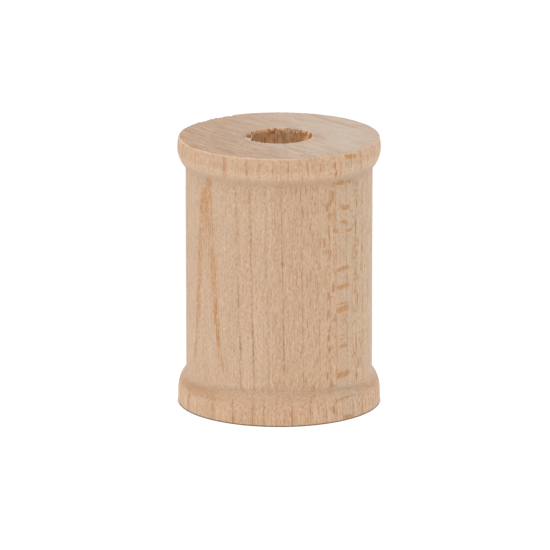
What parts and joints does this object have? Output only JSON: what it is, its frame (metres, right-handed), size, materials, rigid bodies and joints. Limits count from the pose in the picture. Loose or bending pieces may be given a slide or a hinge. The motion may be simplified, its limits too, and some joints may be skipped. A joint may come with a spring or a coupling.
{
  "type": "thread spool",
  "caption": "Bare wooden thread spool turned from one piece of beech: straight barrel between low rounded rims, with a straight through bore for a spool pin.",
  "frame": {"origin": "centre of the base face, on the spool's axis, where the spool stands", "axes": "+Z along the spool's axis, from the base face to the top face; the spool is round, so X and Y are free, and the view in the picture looks along +Y"},
  "size_m": [0.03, 0.03, 0.0404],
  "materials": {
    "beech": "bare turned beech, matt, with no varnish or wax"
  },
  "bodies": {
    "root": {"spool": "beech"}
  },
  "joints": []
}
